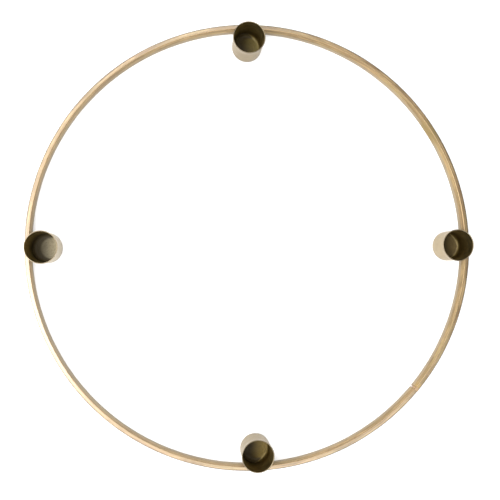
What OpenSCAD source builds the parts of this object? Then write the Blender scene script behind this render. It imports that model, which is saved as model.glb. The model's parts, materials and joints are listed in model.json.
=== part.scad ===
// Candle wreath frame: a hoop of flat bar, rolled on edge and butt welded, with four drawn
// candle cups brazed against its inside face. The hoop and the cups stand on one plane.
// Origin: centre of the hoop, on the plane that it stands on. +Z is up. Millimetres.

/* [Hoop] */
// Outside diameter of the hoop
hoop_d = 350; // [250:5:450]
// Thickness of the flat bar, across the hoop's rim
bar_t = 3.5; // [3:0.5:5]
// Height of the flat bar, which stands on edge
bar_h = 12; // [8:1:16]
// Width of the broken arris along the bar's long edges
bar_arris = 0.3; // [0.1:0.1:0.6]

/* [Hoop joint] */
// Where the two ends of the bar meet, in degrees anticlockwise from +X
joint_angle = -41; // [-80:1:-10]
// Gap between the two ends of the bar
joint_gap = 0.8; // [0.4:0.1:1.5]
// How deep the gap stays open behind the inside face
joint_notch = 2.2; // [0.5:0.1:2.6]
// Height of the weld that closes the gap along the bar's top edge
weld_cap_h = 6.5; // [1:0.5:7]
// How far that weld stops short of the inside face
weld_cap_inset = 0.3; // [0.1:0.1:0.5]

/* [Candle cups] */
// Where each cup is brazed to the hoop, in degrees anticlockwise from +X
cup_angles = [0.2, 91.6, 180.7, 270.8]; // [0:0.1:360]
// Inside diameter of a cup's straight part, which holds a 22 mm taper candle
socket_d = 22.4; // [20:0.1:25]
// Height of a cup
cup_h = 28; // [24:1:40]
// Thickness of the drawn sheet
cup_wall = 0.7; // [0.5:0.1:1.2]
// Radius inside a cup, where its floor turns up into its wall
floor_fillet = 2.8; // [1:0.2:3]
// Height of the flared mouth
flare_h = 9; // [4:1:12]
// How far the mouth flares outwards
flare_w = 0.7; // [0.2:0.1:1.2]

/* [Cup brazing] */
// Radius of the bead of braze on each side of a cup
bead_r = 1.6; // [1.2:0.1:2]
// How far to each side of the line of contact a bead lies
bead_side = 4.2; // [3.6:0.1:4.6]
// How far the beads stop short of the bar's top and bottom edges
bead_inset = 1; // [0.5:0.25:2]

/* [Hidden] */

round_fn = 720;
arc_steps = 8;
overcut = 1;

hoop_ro = hoop_d / 2;
hoop_ri = hoop_ro - bar_t;
cup_ri = socket_d / 2;
cup_ro = cup_ri + cup_wall;
// Each cup touches the inside face of the hoop along one upright line
cup_pitch_r = hoop_ri - cup_ro;

bar_colour = [0.80, 0.68, 0.47];
weld_colour = [0.86, 0.73, 0.55];
cup_colour = [0.78, 0.70, 0.56];
braze_colour = [0.68, 0.56, 0.36];

// Points of an arc about [cx, cz], from angle a0 to angle a1
function arc(cx, cz, r, a0, a1, steps = arc_steps) = [
    for (i = [0:steps]) let (a = a0 + (a1 - a0) * i / steps) [cx + r * cos(a), cz + r * sin(a)]
];

// Radius of the arc that leaves an upright wall tangent and bends out by w over a height h
function flare_radius(w, h) = (w * w + h * h) / (2 * w);

// How far the flared mouth stands out from the straight wall at height z
function flare_at(z) =
    let (r = flare_radius(flare_w, flare_h), dz = z - (cup_h - flare_h))
    r - sqrt(r * r - dz * dz);

// Heights at which the flared mouth is sectioned, up to the middle of its rounded rim
flare_steps = [
    for (i = [1:arc_steps]) cup_h - flare_h + (flare_h - cup_wall / 2) * i / arc_steps
];

// The bar's section in the half plane x > 0, from radius ri to radius ro
module bar_section(ri, ro) {
    c = bar_arris;
    polygon([
        [ri + c, 0], [ro - c, 0], [ro, c], [ro, bar_h - c],
        [ro - c, bar_h], [ri + c, bar_h], [ri, bar_h - c], [ri, c]
    ]);
}

// A slot as wide as the joint's gap, across the bar at the joint
module joint_slot() {
    rotate([0, 0, joint_angle])
        translate([hoop_ri - overcut, -joint_gap / 2, -overcut])
            cube([bar_t + 2 * overcut, joint_gap, bar_h + 2 * overcut]);
}

// Half section of a cup: out along the underside, up the outside, over the rim, down the inside
module cup_section() {
    rim_r = cup_wall / 2;
    rim_x = cup_ri + rim_r + flare_at(cup_h - rim_r);
    polygon(concat(
        [[0, 0]],
        arc(cup_ri - floor_fillet, cup_wall + floor_fillet, cup_wall + floor_fillet, -90, 0),
        [[cup_ro, cup_h - flare_h]],
        [for (z = flare_steps) [cup_ro + flare_at(z), z]],
        arc(rim_x, cup_h - rim_r, rim_r, 20, 160),
        [for (i = [arc_steps - 1:-1:0]) let (z = flare_steps[i]) [cup_ri + flare_at(z), z]],
        [[cup_ri, cup_h - flare_h]],
        arc(cup_ri - floor_fillet, cup_wall + floor_fillet, floor_fillet, 0, -90),
        [[0, cup_wall]]
    ));
}

module hoop_band() {
    color(bar_colour)
        difference() {
            rotate_extrude($fn = round_fn) bar_section(hoop_ri, hoop_ro);
            joint_slot();
        }
}

// Closes the joint along the outside face and the top edge, ground flush with the bar, and
// leaves it open below and inside
module hoop_seam_weld() {
    color(weld_colour)
        difference() {
            intersection() {
                rotate_extrude($fn = round_fn) bar_section(hoop_ri + weld_cap_inset, hoop_ro);
                joint_slot();
            }
            translate([0, 0, -overcut])
                cylinder(
                    r = hoop_ri + joint_notch, h = bar_h - weld_cap_h + overcut, $fn = round_fn
                );
        }
}

module candle_cup(i) {
    color(cup_colour)
        rotate([0, 0, cup_angles[i]])
            translate([cup_pitch_r, 0, 0])
                rotate_extrude($fn = round_fn) cup_section();
}

// Two beads, one in the narrow gap on each side of the line where a cup touches the hoop
module cup_braze(i) {
    bead_h = bar_h - 2 * bead_inset;
    color(braze_colour)
        rotate([0, 0, cup_angles[i]])
            translate([0, 0, bead_inset])
                for (side = [-1, 1])
                    difference() {
                        intersection() {
                            translate([hoop_ri - bead_r / 2, side * bead_side, 0])
                                cylinder(r = bead_r, h = bead_h, $fn = round_fn);
                            cylinder(r = hoop_ri, h = bead_h, $fn = round_fn);
                        }
                        translate([cup_pitch_r, 0, -overcut])
                            cylinder(r = cup_ro, h = bead_h + 2 * overcut, $fn = round_fn);
                    }
}

hoop_band();
hoop_seam_weld();
candle_cup(0);  // candle_cup_1
candle_cup(1);  // candle_cup_2
candle_cup(2);  // candle_cup_3
candle_cup(3);  // candle_cup_4
cup_braze(0);  // cup_braze_1
cup_braze(1);  // cup_braze_2
cup_braze(2);  // cup_braze_3
cup_braze(3);  // cup_braze_4
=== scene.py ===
"""Candle wreath frame: a brass-finished flat-bar hoop with four drawn candle cups brazed inside it."""

import json
import math
import random

import bmesh
import bpy
from mathutils import Matrix, Vector, noise


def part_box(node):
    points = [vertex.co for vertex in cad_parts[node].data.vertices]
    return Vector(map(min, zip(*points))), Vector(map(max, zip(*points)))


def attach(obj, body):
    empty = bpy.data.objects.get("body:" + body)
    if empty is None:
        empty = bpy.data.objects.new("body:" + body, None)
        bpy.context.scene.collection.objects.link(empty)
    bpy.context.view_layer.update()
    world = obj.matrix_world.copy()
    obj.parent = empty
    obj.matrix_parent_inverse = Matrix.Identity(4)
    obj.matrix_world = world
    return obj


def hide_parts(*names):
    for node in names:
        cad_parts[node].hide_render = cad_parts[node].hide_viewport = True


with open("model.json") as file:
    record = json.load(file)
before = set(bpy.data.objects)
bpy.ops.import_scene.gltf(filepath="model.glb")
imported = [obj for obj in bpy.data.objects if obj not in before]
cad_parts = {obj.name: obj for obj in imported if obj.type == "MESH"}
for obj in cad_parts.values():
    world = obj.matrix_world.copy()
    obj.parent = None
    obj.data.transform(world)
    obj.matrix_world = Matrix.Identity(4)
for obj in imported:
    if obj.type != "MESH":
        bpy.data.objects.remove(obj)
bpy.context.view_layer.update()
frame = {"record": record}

MM = 0.001
TURN = 2 * math.pi

# ---------------------------------------------------------------- sizes

# These come from the frame or, where it doesn't give one, are the CAD model's own
CUPS = ("candle_cup_1", "candle_cup_2", "candle_cup_3", "candle_cup_4")
BRAZES = ("cup_braze_1", "cup_braze_2", "cup_braze_3", "cup_braze_4")

hoop_low, hoop_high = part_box("hoop_band")
HOOP_RO = (hoop_high.x - hoop_low.x) / 2
HOOP_H = hoop_high.z
BAR_T = 3.5 * MM
HOOP_RI = HOOP_RO - BAR_T

weld_low, weld_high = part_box("hoop_seam_weld")
weld_centre = (weld_low + weld_high) / 2
JOINT_ANGLE = math.atan2(weld_centre.y, weld_centre.x)
JOINT_GAP = 0.8 * MM
NOTCH = 2.2 * MM
WELD_CAP_H = 6.5 * MM
WELD_INSET = 0.3 * MM

socket = next(m for m in frame["record"]["mounts"] if m["name"] == "candle_socket_1")
SOCKET_R = socket["dims"]["r_mm"] * MM
cup_low, cup_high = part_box(CUPS[0])
CUP_H = cup_high.z
CUP_WALL = 0.7 * MM
CUP_RO = SOCKET_R + CUP_WALL
MOUTH_RO = (cup_high.x - cup_low.x) / 2
FLARE = MOUTH_RO - CUP_WALL - SOCKET_R
FLARE_H = 9 * MM
FLOOR_FILLET = CUP_H - FLARE_H - CUP_WALL - socket["dims"]["length_mm"] * MM


def cup_axis(name):
    """Where a cup's axis stands, as a point on the ground."""
    low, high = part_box(name)
    return Vector(((low.x + high.x) / 2, (low.y + high.y) / 2, 0))


# ---------------------------------------------------------------- shader helpers

GRAZING_TINT = (0.58, 0.50, 0.38, 1)
OXIDE_GLOSS = 0.03
LACQUER_ROUGHNESS = 0.25
LACQUER_IOR = 1.8
# Keeps a division by the radius safe on the axis, in millimetres
AXIS_CLEARANCE = 0.01
# The sockets that a Mix node uses when it mixes colours
MIX_SHARE, MIX_A, MIX_B = 0, 6, 7
MIX_RESULT = 2


class Nodes:
    """A material's node tree, with short ways to add and join nodes."""

    def __init__(self, name):
        self.material = bpy.data.materials.new(name)
        self.material.use_nodes = True
        self.tree = self.material.node_tree
        self.tree.nodes.clear()

    def put(self, made, key, value):
        """Joins a socket to a node's input, or sets that input to a value."""
        if isinstance(value, bpy.types.NodeSocket):
            self.tree.links.new(value, made.inputs[key])
        else:
            made.inputs[key].default_value = value

    def add(self, kind, inputs=(), **settings):
        made = self.tree.nodes.new(kind)
        for key, value in settings.items():
            setattr(made, key, value)
        for key, value in dict(inputs).items():
            self.put(made, key, value)
        return made

    def math(self, operation, *values):
        return self.add("ShaderNodeMath", enumerate(values), operation=operation).outputs[0]

    def plus(self, a, b):
        return self.math("ADD", a, b)

    def times(self, a, b):
        return self.math("MULTIPLY", a, b)

    def vector(self, operation, *values):
        return self.add("ShaderNodeVectorMath", enumerate(values), operation=operation).outputs[0]

    def distance(self, point, place):
        made = self.add("ShaderNodeVectorMath", {0: point, 1: place}, operation="DISTANCE")
        return made.outputs["Value"]

    def position(self, origin=(0, 0, 0)):
        """The surface point relative to origin, in millimetres."""
        point = self.add("ShaderNodeTexCoord").outputs["Object"]
        moved = self.vector("SUBTRACT", point, tuple(origin))
        scaled = self.add("ShaderNodeVectorMath", {0: moved, "Scale": 1 / MM}, operation="SCALE")
        return scaled.outputs[0]

    def round(self, position):
        """(unit x, unit y, radius, height) of a point about the upright axis."""
        split = self.add("ShaderNodeSeparateXYZ", {0: position})
        x, y, z = split.outputs
        radius = self.math("SQRT", self.plus(self.times(x, x), self.times(y, y)))
        safe = self.math("MAXIMUM", radius, AXIS_CLEARANCE)
        return self.math("DIVIDE", x, safe), self.math("DIVIDE", y, safe), radius, z

    def combine(self, x, y, z):
        return self.add("ShaderNodeCombineXYZ", {0: x, 1: y, 2: z}).outputs[0]

    def drawn_out(self, ux, uy, turns, level):
        """Where to read a noise so that its marks run round the axis: more turns, shorter marks."""
        return self.combine(self.times(ux, turns), self.times(uy, turns), level)

    def noise(self, vector, scale=1.0, detail=3.0, rough=0.55):
        made = self.add(
            "ShaderNodeTexNoise",
            {"Vector": vector, "Scale": scale, "Detail": detail, "Roughness": rough},
        )
        return made.outputs["Fac"]

    def ramp(self, value, stops):
        """Maps a value to colours: stops are (place, colour)."""
        made = self.add("ShaderNodeValToRGB", {0: value})
        items = made.color_ramp.elements
        while len(items) < len(stops):
            items.new(0.5)
        for item, (place, colour) in zip(items, stops):
            item.position = place
            item.color = (*colour, 1)
        return made.outputs[0]

    def span(self, value, low, high, to_low, to_high):
        """Goes smoothly from to_low, while value is up to low, to to_high, once it reaches high."""
        made = self.add(
            "ShaderNodeMapRange",
            {"Value": value, "From Min": low, "From Max": high, "To Min": to_low, "To Max": to_high},
            interpolation_type="SMOOTHSTEP",
        )
        return made.outputs[0]

    def mix(self, share, a, b):
        """Colour a, with that share of colour b over it."""
        made = self.add("ShaderNodeMix", data_type="RGBA")
        for place, value in ((MIX_SHARE, share), (MIX_A, a), (MIX_B, b)):
            self.put(made, place, (*value, 1) if isinstance(value, tuple) else value)
        return made.outputs[MIX_RESULT]

    def metal(self, colour, roughness, height, depth_mm, lacquer=0.0, metallic=1.0):
        """Ends the tree in a metal whose relief is height over depth_mm, under clear lacquer.

        Where metallic is 0, the metal hides under a dull brown oxide.
        """
        relief = {"Height": height, "Distance": depth_mm * MM, "Strength": 1.0}
        inputs = {
            "Base Color": colour,
            "Roughness": roughness,
            "Normal": self.add("ShaderNodeBump", relief).outputs[0],
            "Metallic": metallic,
            "Specular IOR Level": OXIDE_GLOSS,
            "Specular Tint": GRAZING_TINT,
            "Coat Weight": lacquer,
            "Coat Roughness": LACQUER_ROUGHNESS,
            "Coat IOR": LACQUER_IOR,
        }
        shader = self.add("ShaderNodeBsdfPrincipled", inputs)
        self.add("ShaderNodeOutputMaterial", {0: shader.outputs[0]})
        return self.material


# ---------------------------------------------------------------- materials

BLACK = (0, 0, 0)
BRASS_DEEP = (0.19, 0.105, 0.034)
BRASS = (0.315, 0.212, 0.098)
BRASS_PALE = (0.605, 0.422, 0.205)
# Painted highlight: a golden band along the bar's inner top arris
ARRIS_HIGHLIGHT_GOLD = (0.29, 0.195, 0.085)
BRASS_GREY = (0.43, 0.37, 0.28)
REFLECTED_FLOOR_TONE = (0.46, 0.385, 0.27)
# Painted dark reflection along the bar's outer top arris
ARRIS_DARK_REFLECTION = (0.08, 0.06, 0.04)
HEAT_GOLD = (0.54, 0.35, 0.075)
OLIVE = (0.31, 0.22, 0.07)
OLIVE_PALE = (0.44, 0.35, 0.15)
RUSSET = (0.33, 0.195, 0.095)

# How closely the bar's marks follow one another, round the hoop and across the bar
BROAD_TURNS = 6
FINE_TURNS = 18
TINT_TURNS = 5
WALL_MARKS_PER_MM = 0.38
EDGE_MARKS_PER_MM = 0.9
PATCHES_PER_MM = 0.1
FINE_PER_BROAD = 3.3
# Keeps the tints from following the streaks
TINT_OFFSET = 9
# How far the painted highlight band and the painted dark reflection reach from the bar's two top
# arrises, in millimetres
HIGHLIGHT_REACH = 1.50
DARK_REFLECTION_REACH = 1.20


def on_hoop(degrees, radius, height):
    """A place on the hoop in millimetres, from a radius in metres and a height in millimetres."""
    a = math.radians(degrees)
    return (radius / MM * math.cos(a), radius / MM * math.sin(a), height)


JOINT_DEGREES = math.degrees(JOINT_ANGLE)
# Discoloured places, and one painted reflection of the pale floor on the wall about 212 degrees:
# (colour, place, full within, gone beyond, strength), in millimetres
PAINTED_REFLECTION_STRETCH = (REFLECTED_FLOOR_TONE, on_hoop(212, HOOP_RI, 4), 30.0, 80.0, 0.55)
OLIVE_PATCH = (OLIVE, on_hoop(33, HOOP_RI, 6), 4.0, 16.0, 0.85)
HEAT_MARK = (HEAT_GOLD, on_hoop(JOINT_DEGREES + 0.9, HOOP_RI + 0.3 * MM, 11.6), 1.2, 4.0, 0.9)
HEAT_EDGE = (OLIVE, on_hoop(JOINT_DEGREES + 3.0, HOOP_RO - MM, 12), 1.2, 5.0, 0.7)


def stain_and_reflection(n, point, colour, mark):
    """Lays one soft round mark over a colour; the marks are stains, and one painted reflection."""
    tone, place, full_within, gone_beyond, strength = mark
    share = n.span(n.distance(point, place), full_within, gone_beyond, strength, 0.0)
    return n.mix(share, colour, tone)


def near_arris(n, radius, z, ragged, arris_r, reach):
    """A mask along one of the bar's top arrises, with a ragged border."""
    away = n.math("ABSOLUTE", n.math("SUBTRACT", radius, arris_r / MM))
    below = n.math("ABSOLUTE", n.math("SUBTRACT", z, HOOP_H / MM))
    square = n.plus(n.times(away, away), n.times(below, below))
    distance = n.plus(n.math("SQRT", square), ragged)
    return n.span(distance, reach * 0.6, reach * 1.25, 1.0, 0.0)


def streaked_brass(n, ux, uy, z, level, broad, fine):
    """Deep and pale patches, pale broad streaks, dark fine ones, and russet and olive tints."""
    patches = n.noise(n.drawn_out(ux, uy, BROAD_TURNS, n.times(z, PATCHES_PER_MM)))
    colour = n.ramp(patches, [(0.30, BRASS_DEEP), (0.5, BRASS), (0.72, BRASS_PALE)])
    colour = n.mix(n.span(broad, 0.48, 0.56, 0.0, 1.0), colour, BRASS_PALE)
    colour = n.mix(n.span(fine, 0.38, 0.54, 0.7, 0.0), colour, BRASS_DEEP)
    tint = n.noise(n.drawn_out(ux, uy, TINT_TURNS, n.plus(level, TINT_OFFSET)), detail=2)
    colour = n.mix(n.span(tint, 0.35, 0.48, 0.55, 0.0), colour, RUSSET)
    return n.mix(n.span(tint, 0.52, 0.65, 0.0, 0.55), colour, OLIVE_PALE)


def wall_reflection_and_foot_band(n, point, z, grain, colour):
    """Only on the bar's upright faces: a dull stretch of painted reflection, and a grey band along the
    foot.
    """
    # Painted reflection of the pale floor: a duller, paler stretch of the wall about 212 degrees
    colour = stain_and_reflection(n, point, colour, PAINTED_REFLECTION_STRETCH)
    uneven_z = n.plus(z, n.times(grain, 2.0))
    return n.mix(n.span(uneven_z, 4.0, 8.0, 0.9, 0.0), colour, BRASS_GREY)


def bar_metal(name, on_wall, shade, roughness, lacquer):
    """Rolled flat bar: streaks run round the hoop, with a painted highlight band along the inner top
    arris and a painted dark reflection along the outer one.
    """
    n = Nodes(name)
    point = n.position()
    ux, uy, radius, z = n.round(point)
    level = n.times(z, WALL_MARKS_PER_MM) if on_wall else n.times(radius, EDGE_MARKS_PER_MM)
    broad = n.noise(n.drawn_out(ux, uy, BROAD_TURNS, level), detail=4, rough=0.6)
    fine = n.noise(n.drawn_out(ux, uy, FINE_TURNS, n.times(level, FINE_PER_BROAD)), detail=3)
    grain = n.noise(point, scale=1.1, detail=5, rough=0.7)
    colour = streaked_brass(n, ux, uy, z, level, broad, fine)
    if on_wall:
        colour = wall_reflection_and_foot_band(n, point, z, grain, colour)
    for mark in (OLIVE_PATCH, HEAT_MARK, HEAT_EDGE):
        colour = stain_and_reflection(n, point, colour, mark)
    ragged = n.times(grain, 0.5)
    arris_highlight = near_arris(n, radius, z, ragged, HOOP_RI, HIGHLIGHT_REACH)
    arris_reflection_dark = near_arris(n, radius, z, ragged, HOOP_RO, DARK_REFLECTION_REACH)
    # Painted light along the top arrises: a golden highlight band inside, a dark reflection outside
    colour = n.mix(n.times(arris_highlight, 0.8), colour, ARRIS_HIGHLIGHT_GOLD)
    colour = n.mix(n.times(arris_reflection_dark, 0.75), colour, ARRIS_DARK_REFLECTION)
    colour = n.mix(shade, colour, BLACK)
    marks = n.plus(n.times(fine, 0.6), n.times(broad, 0.4))
    rough = n.span(marks, 0.35, 0.65, roughness, roughness + 0.12)
    return n.metal(colour, rough, marks, 0.02, lacquer)


def hoop_wall_metal():
    """The bar's upright faces and arrises."""
    return bar_metal("hoop_wall_brass", on_wall=True, shade=0.22, roughness=0.24, lacquer=0.35)


def hoop_edge_metal():
    """The bar's top and bottom edges."""
    return bar_metal("hoop_edge_brass", on_wall=False, shade=0.40, roughness=0.5, lacquer=0.72)


WELD_DEEP = (0.25, 0.17, 0.10)
WELD_BROWN = (0.34, 0.24, 0.15)
WELD_PAINTED_LIGHT = (0.62, 0.44, 0.29)


def weld_metal():
    """Ground weld: duller than the bar, with painted light, peach-coloured, on its inside face under
    the top.
    """
    n = Nodes("ground_weld_brass")
    point = n.position()
    radius, z = n.round(point)[2:]
    spots = n.noise(point, scale=1.6, detail=5)
    colour = n.ramp(spots, [(0.3, WELD_DEEP), (0.7, WELD_BROWN)])
    inside = n.span(radius, HOOP_RI / MM + 0.8, HOOP_RI / MM + 1.6, 0.8, 0.0)
    lit_below_top = n.span(z, HOOP_H / MM - 1.2, HOOP_H / MM - 0.4, 1.0, 0.0)
    # Painted light: a pale peach on the weld's face in the shaded notch, under its top
    colour = n.mix(n.times(inside, lit_below_top), colour, WELD_PAINTED_LIGHT)
    return n.metal(colour, n.span(spots, 0.3, 0.7, 0.40, 0.55), spots, 0.05)


CUT_DULL = (0.62, 0.48, 0.36)
CUT_BRIGHT = (0.76, 0.62, 0.49)


def cut_metal():
    """The bar's sawn ends, raw and pale."""
    n = Nodes("cut_face_brass")
    kerf = n.noise(n.position(), scale=3.0, detail=4)
    colour = n.ramp(kerf, [(0.3, CUT_DULL), (0.7, CUT_BRIGHT)])
    return n.metal(colour, n.span(kerf, 0.3, 0.7, 0.45, 0.60), kerf, 0.04)


CUP_DEEP = (0.34, 0.27, 0.165)
CUP_PALE = (0.43, 0.35, 0.225)
CUP_LINE = (0.49, 0.415, 0.29)
# Painted reflection: the grey of the pale floor seen in a cup's outside
FLOOR_SHEEN_GREY = (0.43, 0.39, 0.315)
CUP_RIM = (0.20, 0.155, 0.09)
INSIDE_DEEP = (0.31, 0.24, 0.095)
INSIDE_PALE = (0.43, 0.345, 0.16)
INSIDE_LINE = (0.05, 0.04, 0.02)
# Painted shade: dark brown on a cup's floor outside its lit pool, in the corner where it turns up, and
# up the wall at -X
PAINTED_SHADE_BROWN = (0.03, 0.022, 0.010)
# Painted light, set per cup on its outside: how dark its painted shade is, and how grey its painted
# reflection of the pale floor
CUP_PAINTED_SHADE = (0.12, 0.42, 0.08, 0.40)
CUP_PAINTED_SHEEN = (0.10, 0.10, 0.95, 0.25)
# The oxide on each cup's floor, its painted light and shade set per cup: its tone in painted shadow,
# at -X, and where painted light falls, at +X
CUP_FLOOR_LIGHT_AND_SHADE = (
    ((0.010, 0.007, 0.003), (0.126, 0.093, 0.042)),
    ((0.020, 0.013, 0.004), (0.150, 0.122, 0.046)),
    ((0.090, 0.078, 0.048), (0.490, 0.430, 0.300)),
    ((0.014, 0.009, 0.003), (0.212, 0.155, 0.052)),
)
# A painted pool of light on a cup's floor is a disc about this place, in millimetres from the cup's
# foot
LIT_POOL_CENTRE = (3.0, 0, 0.7)
# How far the spinning lines on a cup's outside are drawn out, and how close they lie
SPIN_TURNS = 2.2
SPIN_PER_MM = 1.6
# The same inside, where the lines go on as rings over the floor. Near the axis the turns shrink
# with the radius, so that the noise doesn't pinch there
INSIDE_TURNS_PER_MM = 0.7
INSIDE_TURNS_WITHIN = 3.0
INSIDE_PER_MM = 1.2


def darken_rim(n, z, colour):
    """Dark at a cup's rounded rim, inside and outside."""
    return n.mix(n.span(z, CUP_H / MM - 0.6, CUP_H / MM - 0.2, 0.0, 0.9), colour, CUP_RIM)


def cup_outside_metal(number, axis):
    """Spun outside of a cup: fine lines run round it, under a painted grey reflection of the floor,
    greyest at the foot, and a painted shade.
    """
    n = Nodes(f"cup_outside_{number}")
    seed = number * 3.7
    shade, painted_sheen = CUP_PAINTED_SHADE[number - 1], CUP_PAINTED_SHEEN[number - 1]
    point = n.position(axis)
    ux, uy, _, z = n.round(point)
    around = (n.plus(n.times(ux, SPIN_TURNS), seed), n.times(uy, SPIN_TURNS))
    lines = n.noise(n.combine(*around, n.times(z, SPIN_PER_MM)), detail=5, rough=0.75)
    patches = n.noise(n.vector("ADD", point, (seed * 7.0, 0, 0)), scale=0.12, detail=2)
    colour = n.ramp(patches, [(0.3, CUP_DEEP), (0.7, CUP_PALE)])
    colour = n.mix(n.span(lines, 0.42, 0.62, 0.0, 0.5), colour, CUP_LINE)
    # Painted reflection of the pale floor, greyest at the foot
    grey = n.span(n.plus(z, lines), 2.0, 8.0, max(0.7, painted_sheen), painted_sheen)
    colour = darken_rim(n, z, n.mix(grey, colour, FLOOR_SHEEN_GREY))
    # Painted shade, set per cup
    colour = n.mix(shade, colour, BLACK)
    return n.metal(colour, n.span(lines, 0.3, 0.7, 0.30, 0.46), lines, 0.03, lacquer=0.4)


def floor_light_and_shade(n, point, uneven, z, tones):
    """A cup's floor, in painted light and shade: painted shadow at -X, a painted pool of light a
    little towards +X, and painted shade again where it turns up.
    """
    floor = n.mix(n.span(uneven, -5.0, 13.0, 0.0, 1.0), *tones)
    # Painted shade outside the painted pool of light
    outside_lit_pool = n.span(n.distance(point, LIT_POOL_CENTRE), 7.2, 9.0, 0.0, 0.85)
    floor = n.mix(outside_lit_pool, floor, PAINTED_SHADE_BROWN)
    # Painted shade in the corner where the floor turns up
    return n.mix(n.span(z, 1.0, 2.2, 0.0, 0.9), floor, PAINTED_SHADE_BROWN)


def inside_wall(n, patches, z):
    """A cup's wall inside: olive brown, with painted shade low down, darker than at the mouth."""
    wall = n.ramp(patches, [(0.3, INSIDE_DEEP), (0.7, INSIDE_PALE)])
    # Painted shade: the wall goes towards black low down, near the floor
    low = n.times(n.span(z, 1.6, 4.5, 0.0, 0.5), n.span(z, 4.5, 17.0, 1.0, 0.0))
    return n.mix(low, wall, BLACK)


def cup_inside_metal(number, axis):
    """Inside of a cup: bare metal on the wall, and oxide on the floor that climbs the wall at -X as
    painted shadow.
    """
    n = Nodes(f"cup_inside_{number}")
    seed = number * 5.3
    point = n.position(axis)
    ux, uy, radius, z = n.round(point)
    turns = n.times(n.math("MINIMUM", radius, INSIDE_TURNS_WITHIN), INSIDE_TURNS_PER_MM)
    around = (n.plus(n.times(ux, turns), seed), n.times(uy, turns))
    along = n.times(n.plus(z, radius), INSIDE_PER_MM)
    lines = n.noise(n.combine(*around, along), detail=4, rough=0.65)
    patches = n.noise(n.vector("ADD", point, (0, seed * 5.0, 0)), scale=0.22, detail=3)
    uneven = n.plus(n.times(ux, radius), n.times(patches, 2.0))
    # Painted shadow: the floor's dark oxide climbs the wall at -X
    painted_shadow_climb = n.span(uneven, -5.0, 7.0, 4.5, 0.0)
    above = n.math("SUBTRACT", n.plus(z, n.times(lines, 0.6)), painted_shadow_climb)
    bare = n.span(above, 0.95, 2.0, 0.0, 1.0)
    floor = floor_light_and_shade(n, point, uneven, z, CUP_FLOOR_LIGHT_AND_SHADE[number - 1])
    colour = n.mix(bare, floor, inside_wall(n, patches, z))
    colour = n.mix(n.span(lines, 0.36, 0.56, 0.35, 0.0), colour, INSIDE_LINE)
    colour = darken_rim(n, z, colour)
    rough = n.span(lines, 0.3, 0.7, 0.34, 0.46)
    return n.metal(colour, rough, lines, 0.03, lacquer=0.03, metallic=bare)


BRAZE_DEEP = (0.40, 0.27, 0.12)
BRAZE_PALE = (0.60, 0.44, 0.23)


def braze_metal():
    """Braze: warm and a little blotchy."""
    n = Nodes("braze_brass")
    spots = n.noise(n.position(), scale=1.2, detail=5)
    colour = n.ramp(spots, [(0.3, BRAZE_DEEP), (0.7, BRAZE_PALE)])
    return n.metal(colour, n.span(spots, 0.3, 0.7, 0.34, 0.52), spots, 0.06)


# ---------------------------------------------------------------- mesh helpers


def make_object(name, verts, faces, materials, face_slots=None):
    """A smooth-shaded mesh object, with its faces turned outwards and its normals weighted."""
    mesh = bpy.data.meshes.new(name)
    mesh.from_pydata([tuple(v) for v in verts], [], faces)
    for material in materials:
        mesh.materials.append(material)
    if face_slots:
        mesh.polygons.foreach_set("material_index", face_slots)
    work = bmesh.new()
    work.from_mesh(mesh)
    bmesh.ops.recalc_face_normals(work, faces=work.faces)
    work.to_mesh(mesh)
    work.free()
    mesh.shade_smooth()
    obj = bpy.data.objects.new(name, mesh)
    bpy.context.scene.collection.objects.link(obj)
    weighted = obj.modifiers.new("weighted_normals", "WEIGHTED_NORMAL")
    weighted.keep_sharp = False
    return obj


def arc(cx, cz, r, a0, a1, steps):
    """Points of an arc about (cx, cz), from angle a0 to a1 in degrees, both ends included."""
    angles = [math.radians(a0 + (a1 - a0) * i / steps) for i in range(steps + 1)]
    return [(cx + r * math.cos(a), cz + r * math.sin(a)) for a in angles]


def line(x0, z0, x1, z1, steps):
    """Points inside a straight stretch, without its ends."""
    return [(x0 + (x1 - x0) * i / steps, z0 + (z1 - z0) * i / steps) for i in range(1, steps)]


def skin(rows, count, base=0):
    """Faces between rows of count vertices each, the first of which is vertex number base."""
    faces = []
    for i in range(rows - 1):
        a, b = base + i * count, base + (i + 1) * count
        for j in range(count):
            k = (j + 1) % count
            faces.append((a + j, a + k, b + k, b + j))
    return faces


def end_faces(rows, count, base=0):
    """The two faces that close such a skin at its first and last rows."""
    last = base + (rows - 1) * count
    return [tuple(reversed(range(base, base + count))), tuple(range(last, last + count))]


def finish_piece(obj, slot, *nodes):
    """Rides a piece on the body and hides the CAD nodes that it stands for. Its finish, slot, is not
    used.
    """
    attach(obj, "root")
    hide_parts(*nodes)


# ---------------------------------------------------------------- the hoop

ARRIS = 0.45 * MM
ARRIS_STEPS = 5
SIDE_STEPS = 8
HOOP_STEPS = 1080
NOTCH_BEVEL = 0.35 * MM
# The bar is thinner beside the joint, where it was ground with the weld
GROUND_DEPTH = 0.12 * MM
GROUND_REACH = 7 * MM
# A trace of waviness left by the rolls, and what keeps it inside the CAD model's box
ROLL_WAVE = 0.05 * MM
ROLL_WAVES = 9
HOOP_INSET = 0.05 * MM
# The slots of the hoop's materials
WALL_SLOT, EDGE_SLOT, CUT_SLOT = 0, 1, 2


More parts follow.
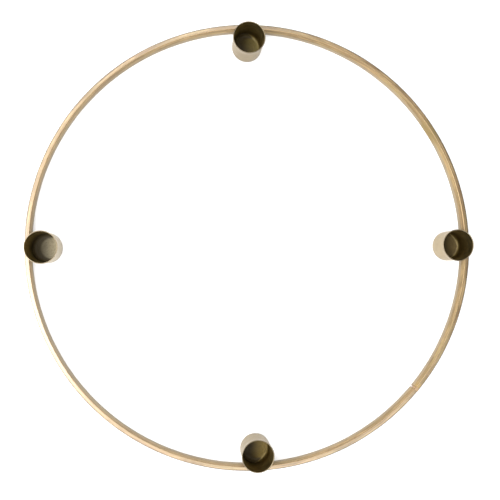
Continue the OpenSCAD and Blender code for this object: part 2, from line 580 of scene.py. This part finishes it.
def bar_section():
    """Outline of the bar's section as (radius, height), anticlockwise from the lower outer arris."""
    ro, ri, a = HOOP_RO, HOOP_RI, ARRIS
    edge_steps = 4
    return (
        arc(ro - a, a, a, -90, 0, ARRIS_STEPS)
        + line(ro, a, ro, HOOP_H - a, SIDE_STEPS)
        + arc(ro - a, HOOP_H - a, a, 0, 90, ARRIS_STEPS)
        + line(ro - a, HOOP_H, ri + a, HOOP_H, edge_steps)
        + arc(ri + a, HOOP_H - a, a, 90, 180, ARRIS_STEPS)
        + line(ri, HOOP_H - a, ri, a, SIDE_STEPS)
        + arc(ri + a, a, a, 180, 270, ARRIS_STEPS)
        + line(ri + a, 0, ro - a, 0, edge_steps)
    )


def weld_section():
    """Outline of the weld: the bar's outer part, and its top edge nearly to the inside face."""
    ro, a = HOOP_RO, ARRIS
    low_r, cap_r, cap_z = HOOP_RI + NOTCH, HOOP_RI + WELD_INSET, HOOP_H - WELD_CAP_H
    edge_steps, hidden_steps = 6, 3
    return (
        arc(ro - a, a, a, -90, 0, ARRIS_STEPS)
        + line(ro, a, ro, HOOP_H - a, SIDE_STEPS)
        + arc(ro - a, HOOP_H - a, a, 0, 90, ARRIS_STEPS)
        + line(ro - a, HOOP_H, cap_r + a, HOOP_H, edge_steps)
        + arc(cap_r + a, HOOP_H - a, a, 90, 180, ARRIS_STEPS)
        + [(cap_r, cap_z), (low_r - a, cap_z)]
        + arc(low_r - a, cap_z - a, a, 90, 0, hidden_steps)[1:]
        + [(low_r, 0)]
    )


def section_slots(section):
    """Each face's material slot along the bar's section: its edges differ from the rest."""
    slots = []
    for j, (r, _) in enumerate(section):
        mid_r = (r + section[(j + 1) % len(section)][0]) / 2
        slots.append(EDGE_SLOT if HOOP_RI + ARRIS < mid_r < HOOP_RO - ARRIS else WALL_SLOT)
    return slots


def make_hoop(materials):
    """The bar, from one side of the joint round to the other."""
    section = bar_section()
    half_gap = JOINT_GAP / 2 / HOOP_RI
    start, stop = JOINT_ANGLE + half_gap, JOINT_ANGLE + TURN - half_gap
    verts = []
    for i in range(HOOP_STEPS + 1):
        angle = start + (stop - start) * i / HOOP_STEPS
        from_joint = (stop - angle) * HOOP_RO
        ground = GROUND_DEPTH * math.exp(-((from_joint / GROUND_REACH) ** 2))
        direction = Vector((math.cos(angle), math.sin(angle), 0))
        wave = ROLL_WAVE * noise.noise(direction * ROLL_WAVES)
        for r, z in section:
            side = (r - (HOOP_RI + HOOP_RO) / 2) / (BAR_T / 2)
            radius = r - side * ground + wave - HOOP_INSET
            # The inside corners of the joint are bevelled
            cut_back = max(0.0, 1 - (r - HOOP_RI) / NOTCH) * NOTCH_BEVEL / HOOP_RI
            turned = angle + cut_back * ((i == 0) - (i == HOOP_STEPS))
            verts.append((radius * math.cos(turned), radius * math.sin(turned), z))
    rows, count = HOOP_STEPS + 1, len(section)
    faces = skin(rows, count) + end_faces(rows, count)
    slots = section_slots(section) * HOOP_STEPS + [CUT_SLOT, CUT_SLOT]
    return make_object("hoop_bar", verts, faces, materials, slots)


WELD_HALF_WIDTH = 1.3 * MM
WELD_STEPS = 20
WELD_CROWN = 0.07 * MM
WELD_RIPPLE = 0.012 * MM
WELD_INSET_R = 0.02 * MM
WELD_INSET_Z = 0.01 * MM
# Keeps the weld off the bar's underside, so that the two never lie in one plane
WELD_FOOT = 0.03 * MM


def weld_point(j, r, z, t):
    """Point j of the weld's section, at t from -1 to 1 across the joint."""
    mid_r, mid_z = HOOP_RO - BAR_T / 2, HOOP_H / 2
    crown = WELD_CROWN * (1 - t * t) + WELD_RIPPLE * math.sin(j * 1.9 + t * t * 2)
    out = max(0.0, (r - mid_r) / (BAR_T / 2))
    up = max(0.0, (z - mid_z) / mid_z) ** 6
    radius = r + crown * out - WELD_INSET_R
    height = max(z + crown * up - WELD_INSET_Z * up, WELD_FOOT)
    angle = JOINT_ANGLE + t * WELD_HALF_WIDTH / HOOP_RO
    return (radius * math.cos(angle), radius * math.sin(angle), height)


def make_weld(material):
    """The ground butt weld: a shallow bead over the joint's outside and top."""
    section = weld_section()
    verts = []
    for i in range(WELD_STEPS + 1):
        t = 2 * i / WELD_STEPS - 1
        verts += [weld_point(j, r, z, t) for j, (r, z) in enumerate(section)]
    rows, count = WELD_STEPS + 1, len(section)
    faces = skin(rows, count) + end_faces(rows, count)
    return make_object("hoop_weld", verts, faces, [material])


# ---------------------------------------------------------------- the cups

CUP_STEPS = 160
CUP_WALL_STEPS = 26
FILLET_STEPS = 10
RIM_STEPS = 10
FLOOR_STEPS = 7
# Drawn sheet is never quite round, or quite level at the rim
OUT_OF_ROUND = 0.05 * MM
THREE_LOBED = 0.015 * MM
RIM_DIP = 0.04 * MM


def flare_at(z):
    """How far the flared mouth stands out from the straight wall at height z."""
    over = z - (CUP_H - FLARE_H)
    if over <= 0:
        return 0.0
    r = (FLARE * FLARE + FLARE_H * FLARE_H) / (2 * FLARE)
    return r - math.sqrt(r * r - over * over)


def cup_profile():
    """(radius, height, inside) along the cup: underside, outside, rim, inside, floor."""
    ro, ri = CUP_RO, SOCKET_R
    rim_r = CUP_WALL / 2
    rim_z = CUP_H - rim_r
    fillet_r = SOCKET_R - FLOOR_FILLET
    fillet_z = CUP_WALL + FLOOR_FILLET
    steps = CUP_WALL_STEPS
    heights = [fillet_z + (rim_z - fillet_z) * i / steps for i in range(1, steps)]
    outside = line(0, 0, fillet_r, 0, FLOOR_STEPS)
    outside += arc(fillet_r, fillet_z, fillet_z, -90, 0, FILLET_STEPS)
    outside += [(ro + flare_at(z), z) for z in heights]
    rim = arc(ri + rim_r + flare_at(rim_z), rim_z, rim_r, 0, 180, RIM_STEPS)
    inside = [(ri + flare_at(z), z) for z in reversed(heights)]
    inside += arc(fillet_r, fillet_z, FLOOR_FILLET, 0, -90, FILLET_STEPS)
    inside += line(fillet_r, CUP_WALL, 0, CUP_WALL, FLOOR_STEPS)
    # The outside's finish goes a little way over the top of the rim
    over_rim = len(rim) // 2 + 2
    outer, inner = outside + rim[:over_rim], rim[over_rim:] + inside
    return [(r, z, 0) for r, z in outer] + [(r, z, 1) for r, z in inner]


def cup_point(r, z, a, phase, phase3):
    """A point of the cup about its own axis, at angle a, a little out of true."""
    up = z / CUP_H
    oval = OUT_OF_ROUND * up * math.cos(2 * a + phase)
    lobes = THREE_LOBED * up * math.cos(3 * a + phase3)
    stray = oval + lobes - OUT_OF_ROUND * up
    lift = RIM_DIP * up**8 * (math.cos(2 * a + phase3) - 1)
    radius = r + stray * min(1.0, r / SOCKET_R)
    return radius * math.cos(a), radius * math.sin(a), z + lift


def make_cup(name, axis, materials, seed):
    """A cup as rings about its axis, closed under its foot and over its floor."""
    profile = cup_profile()
    draw = random.Random(seed)
    phase, phase3 = draw.uniform(0, TURN), draw.uniform(0, TURN)
    verts = [(axis.x, axis.y, 0)]
    for r, z, _ in profile:
        for i in range(CUP_STEPS):
            x, y, height = cup_point(r, z, TURN * i / CUP_STEPS, phase, phase3)
            verts.append((axis.x + x, axis.y + y, height))
    faces = skin(len(profile), CUP_STEPS, base=1)
    slots = [inside for _, _, inside in profile[1:] for _ in range(CUP_STEPS)]
    top = len(verts)
    last = top - CUP_STEPS
    verts.append((axis.x, axis.y, CUP_WALL))
    for i in range(CUP_STEPS):
        k = (i + 1) % CUP_STEPS
        faces += [(0, 1 + k, 1 + i), (top, last + i, last + k)]
        slots += [0, 1]
    return make_object(name, verts, faces, materials, slots)


# ---------------------------------------------------------------- the braze

BEAD_SLICES = 28
BEAD_ACROSS = 8
FACE_STEPS = 4
BEAD_BOTTOM, BEAD_TOP = 0.9 * MM, HOOP_H - 0.9 * MM
# How far a bead starts and ends to the side of the line of contact, and how its width varies
BEAD_NEAR = 1.9 * MM
BEAD_END_MM = 2.4
BEAD_SWELL_MM = 3.0
BEAD_LUMP_MM = 0.35
BEAD_LUMPS = 5
BEAD_HOLLOW = 0.25 * MM
# How deep a bead sinks into the hoop and into the cup, so that no gap shows
BEAD_SINK = 0.04 * MM


def bead_reach(t, shift, seed):
    """How far to the side a bead reaches at t of its height: lumpy, and narrower at both ends."""
    swell = math.sqrt(max(0.0, 1 - (2 * t - 1) ** 6))
    lump = BEAD_LUMP_MM * noise.noise(Vector((t * BEAD_LUMPS + shift, seed, 0)))
    return (BEAD_END_MM + (BEAD_SWELL_MM + lump) * swell) * MM


def bead_outline(pitch, reach):
    """A bead's section as (outwards, sideways): along the hoop, over its face, along the cup."""
    hoop_r, cup_r = HOOP_RI + BEAD_SINK, CUP_RO - BEAD_SINK
    sides = [BEAD_NEAR + (reach - BEAD_NEAR) * q / BEAD_ACROSS for q in range(BEAD_ACROSS + 1)]
    along_hoop = [(math.sqrt(hoop_r**2 - y * y), y) for y in sides]
    along_cup = [(pitch + math.sqrt(cup_r**2 - y * y), y) for y in reversed(sides)]
    hoop_x, cup_x = along_hoop[-1][0], along_cup[0][0]
    face = []
    for q in range(1, FACE_STEPS):
        f = q / FACE_STEPS
        face.append((hoop_x + (cup_x - hoop_x) * f, reach - BEAD_HOLLOW * math.sin(math.pi * f)))
    return along_hoop + face + along_cup


def make_braze(name, axis, material, seed):
    """Two lumpy beads that fill the narrow gaps between a cup and the hoop."""
    draw = random.Random(seed)
    along = math.atan2(axis.y, axis.x)
    out = Vector((math.cos(along), math.sin(along), 0))
    side = Vector((-math.sin(along), math.cos(along), 0))
    rows = BEAD_SLICES + 1
    verts, faces = [], []
    for sign in (-1, 1):
        base = len(verts)
        shift = draw.uniform(0, 20)
        for s in range(rows):
            t = s / BEAD_SLICES
            height = BEAD_BOTTOM + (BEAD_TOP - BEAD_BOTTOM) * t
            outline = bead_outline(axis.length, bead_reach(t, shift, seed))
            for x, y in outline:
                p = out * x + side * (sign * y)
                verts.append((p.x, p.y, height))
        faces += skin(rows, len(outline), base) + end_faces(rows, len(outline), base)
    return make_object(name, verts, faces, [material])


# ---------------------------------------------------------------- build

hoop = make_hoop([hoop_wall_metal(), hoop_edge_metal(), cut_metal()])
finish_piece(hoop, "hoop_brass", "hoop_band")
weld = make_weld(weld_metal())
finish_piece(weld, "ground_weld", "hoop_seam_weld")
braze = braze_metal()
for number, (cup_node, braze_node) in enumerate(zip(CUPS, BRAZES), 1):
    axis = cup_axis(cup_node)
    metals = [cup_outside_metal(number, axis), cup_inside_metal(number, axis)]
    cup = make_cup(f"drawn_cup_{number}", axis, metals, number)
    finish_piece(cup, "cup_brass", cup_node)
    beads = make_braze(f"braze_beads_{number}", axis, braze, number)
    finish_piece(beads, "braze", braze_node)

# ---------------------------------------------------------------- stage, light and camera

FLOOR_DROP = 0.1 * MM
FLOOR_R = 4.0
FLOOR_SIDES = 96
FLOOR_COLOUR = (0.65, 0.65, 0.65, 1)
FLOOR_GLOW = 0.3
WORLD_COLOUR = (0.5, 0.5, 0.5, 1)
CAMERA_PLACE = Vector((-51.43, -18.29, 550.5)) * MM
CAMERA_AIM = Vector((-1.43, -2.89, 0)) * MM
CAMERA_LENS = 49.75
CAMERA_SENSOR = 36
# How the wide softbox is turned, in degrees from +Y
SOFTBOX_SLANT = -20


def white_material():
    """Plain matt white, with a glow that washes its shadows out."""
    material = bpy.data.materials.new("floor_white")
    material.use_nodes = True
    shader = material.node_tree.nodes["Principled BSDF"]
    shader.inputs["Base Color"].default_value = FLOOR_COLOUR
    shader.inputs["Roughness"].default_value = 0.9
    shader.inputs["Specular IOR Level"].default_value = 0.0
    shader.inputs["Emission Color"].default_value = (1, 1, 1, 1)
    shader.inputs["Emission Strength"].default_value = FLOOR_GLOW
    return material


def make_floor():
    """A plain round floor, a hair under the object's feet."""
    work = bmesh.new()
    angles = [TURN * i / FLOOR_SIDES for i in range(FLOOR_SIDES)]
    rim = [(FLOOR_R * math.cos(a), FLOOR_R * math.sin(a), -FLOOR_DROP) for a in angles]
    work.faces.new([work.verts.new(point) for point in rim])
    mesh = bpy.data.meshes.new("floor")
    work.to_mesh(mesh)
    work.free()
    mesh.materials.append(white_material())
    floor = bpy.data.objects.new("floor", mesh)
    bpy.context.scene.collection.objects.link(floor)


def face_towards(obj, aim, up):
    """Turns a camera or lamp to look at aim, with up upwards in its own view."""
    ahead = (Vector(aim) - obj.location).normalized()
    right = ahead.cross(Vector(up)).normalized()
    turn = Matrix((right, right.cross(ahead), -ahead)).transposed()
    obj.rotation_euler = turn.to_euler()


def softbox(name, place, aim, size, radiance, up=(0, 1, 0)):
    """A rectangular light of the given radiance, facing aim."""
    data = bpy.data.lights.new(name, "AREA")
    data.shape = "RECTANGLE"
    data.size, data.size_y = size
    data.energy = radiance * math.pi * size[0] * size[1]
    lamp = bpy.data.objects.new(name, data)
    lamp.location = place
    face_towards(lamp, aim, up)
    bpy.context.scene.collection.objects.link(lamp)


make_floor()
turned = math.radians(SOFTBOX_SLANT)
slant = (math.sin(turned), math.cos(turned), 0)
over_left, at_left = (-0.40, -0.10, 1.0), (-0.40, -0.10, 0)
softbox("softbox_wide", over_left, at_left, size=(1.5, 2.0), radiance=3.8, up=slant)
over_rim, at_rim = (-0.37, -0.12, 0.98), (-0.37, -0.12, 0)
softbox("softbox_left", over_rim, at_rim, size=(0.22, 0.26), radiance=16.0)
softbox("softbox_low", (-1.20, -0.10, 0.70), (0, 0, 0), size=(0.8, 0.5), radiance=9.0)

world = bpy.data.worlds.new("studio")
bpy.context.scene.world = world
world.use_nodes = True
world.node_tree.nodes["Background"].inputs["Color"].default_value = WORLD_COLOUR

camera_data = bpy.data.cameras.new("camera")
camera_data.sensor_width = CAMERA_SENSOR
camera_data.lens = CAMERA_LENS
camera = bpy.data.objects.new("camera", camera_data)
camera.location = CAMERA_PLACE
face_towards(camera, CAMERA_AIM, (0, 1, 0))
bpy.context.scene.collection.objects.link(camera)
bpy.context.scene.camera = camera
bpy.context.scene.view_settings.view_transform = "Standard"

bpy.context.view_layer.update()
